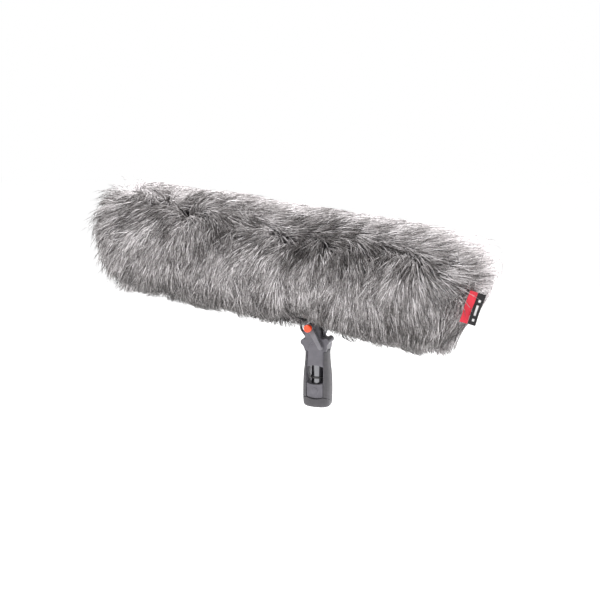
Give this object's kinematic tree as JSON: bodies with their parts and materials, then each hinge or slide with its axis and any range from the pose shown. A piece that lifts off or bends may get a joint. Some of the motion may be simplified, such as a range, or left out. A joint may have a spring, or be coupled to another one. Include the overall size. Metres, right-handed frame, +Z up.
{
  "type": "furry microphone windscreen",
  "caption": "Long fur-covered windscreen for a shotgun microphone, with a cage basket, sprung clips on a rail and a tilting pistol grip with a clamp lever.",
  "frame": {"origin": "centre of the grip's underside, at the mouth of its pole thread", "axes": "+Z up the grip, +X along the tube towards its rear, labelled end, +Y away from the side with the clamp lever"},
  "size_m": [0.5875, 0.1589, 0.3181],
  "materials": {
    "fur": "long grey pile with dark tips and roots",
    "fabric": "woven black tape",
    "ribbon": "red woven tape",
    "plastic": "fine-grained grey moulding",
    "rubber": "soft matt rubber",
    "dark_plastic": "black moulding",
    "red_plastic": "glossy red-orange",
    "chrome": "polished dark chrome",
    "steel": "plated",
    "brass": "turned",
    "mesh": "fine black acoustic mesh"
  },
  "bodies": {
    "grip": {"grip_core": "plastic", "grip_skin_front": "rubber", "grip_skin_rear": "rubber", "emblem_plate_near": "plastic", "emblem_plate_far": "plastic", "base_cap": "rubber", "thread_insert": "brass", "base_screw_front": "steel", "base_screw_rear": "steel", "column_tube": "chrome", "column_collar": "dark_plastic", "clamp_screw": "steel", "clamp_nut": "steel", "clamp_washer_near": "steel", "clamp_washer_far": "steel"},
    "lever": {"clamp_lever": "plastic", "button_spring": "steel"},
    "button": {"release_button": "red_plastic"},
    "screen": {"tilt_head": "plastic", "foot_screw_front": "steel", "foot_screw_rear": "steel", "basket_cage": "dark_plastic", "basket_net": "mesh", "front_ring": "dark_plastic", "rear_ring": "dark_plastic", "rail": "steel", "rail_stop_front": "dark_plastic", "rail_stop_rear": "dark_plastic", "fur_sleeve_front": "fur", "fur_sleeve_middle": "fur", "fur_sleeve_rear": "fur", "fur_front_cap": "fur", "fur_rear_cap": "fur", "slot_binding": "fabric", "zip_tape": "fabric", "label_ribbon": "ribbon", "label": "fabric"},
    "front_mount": {"front_slider": "plastic", "front_lyre": "dark_plastic", "front_clip": "dark_plastic"},
    "rear_mount": {"rear_slider": "plastic", "rear_lyre": "dark_plastic", "rear_clip": "dark_plastic"},
    "front_thumbscrew": {"front_slider_screw": "steel"},
    "rear_thumbscrew": {"rear_slider_screw": "steel"},
    "front_cap": {"front_dome": "dark_plastic", "front_dome_net": "mesh"},
    "rear_cap": {"rear_dome": "dark_plastic", "rear_dome_net": "mesh"},
    "zip_runner": {"zip_slider": "steel"},
    "zip_tab": {"zip_pull": "steel"}
  },
  "joints": [
    {"name": "screen_tilt", "type": "hinge", "parent": "grip", "child": "screen", "pos_m": [-0.006, 0, 0.119], "axis": [0, 1, 0], "range_deg": [-48, 25]},
    {"name": "lever_swing", "type": "hinge", "parent": "grip", "child": "lever", "pos_m": [-0.006, 0, 0.119], "axis": [0, 1, 0], "range_deg": [-34, 86]},
    {"name": "button_press", "type": "slide", "parent": "lever", "child": "button", "axis": [0, 1, 0], "range_m": [0, 0.0025], "stiffness_N_per_m": 600, "springref_m": -0.0005, "deforming": ["button_spring"]},
    {"name": "front_mount_slide", "type": "slide", "parent": "screen", "child": "front_mount", "axis": [0.9905, 0, -0.1374], "range_m": [-0.03, 0.03]},
    {"name": "rear_mount_slide", "type": "slide", "parent": "screen", "child": "rear_mount", "axis": [0.9905, 0, -0.1374], "range_m": [-0.03, 0.03]},
    {"name": "front_thumbscrew_turn", "type": "hinge", "parent": "front_mount", "child": "front_thumbscrew", "pos_m": [-0.16231, -0.015, 0.18572], "axis": [0, 1, 0], "range_deg": [0, 180]},
    {"name": "rear_thumbscrew_turn", "type": "hinge", "parent": "rear_mount", "child": "rear_thumbscrew", "pos_m": [0.0655, -0.015, 0.15411], "axis": [0, 1, 0], "range_deg": [0, 180]},
    {"name": "front_cap_twist", "type": "hinge", "parent": "screen", "child": "front_cap", "pos_m": [-0.2759, 0, 0.24025], "axis": [0.9905, 0, -0.1374], "range_deg": [0, 20]},
    {"name": "rear_cap_twist", "type": "hinge", "parent": "screen", "child": "rear_cap", "pos_m": [0.17479, 0, 0.17771], "axis": [0.9905, 0, -0.1374], "range_deg": [0, 20]},
    {"name": "zip_run", "type": "slide", "parent": "screen", "child": "zip_runner", "axis": [0.9905, 0, -0.1374], "range_m": [-0.13, 0]},
    {"name": "zip_tab_swing", "type": "hinge", "parent": "zip_runner", "child": "zip_tab", "pos_m": [0.17847, 0, 0.11693], "axis": [0, 1, 0], "range_deg": [-30, 75]}
  ]
}
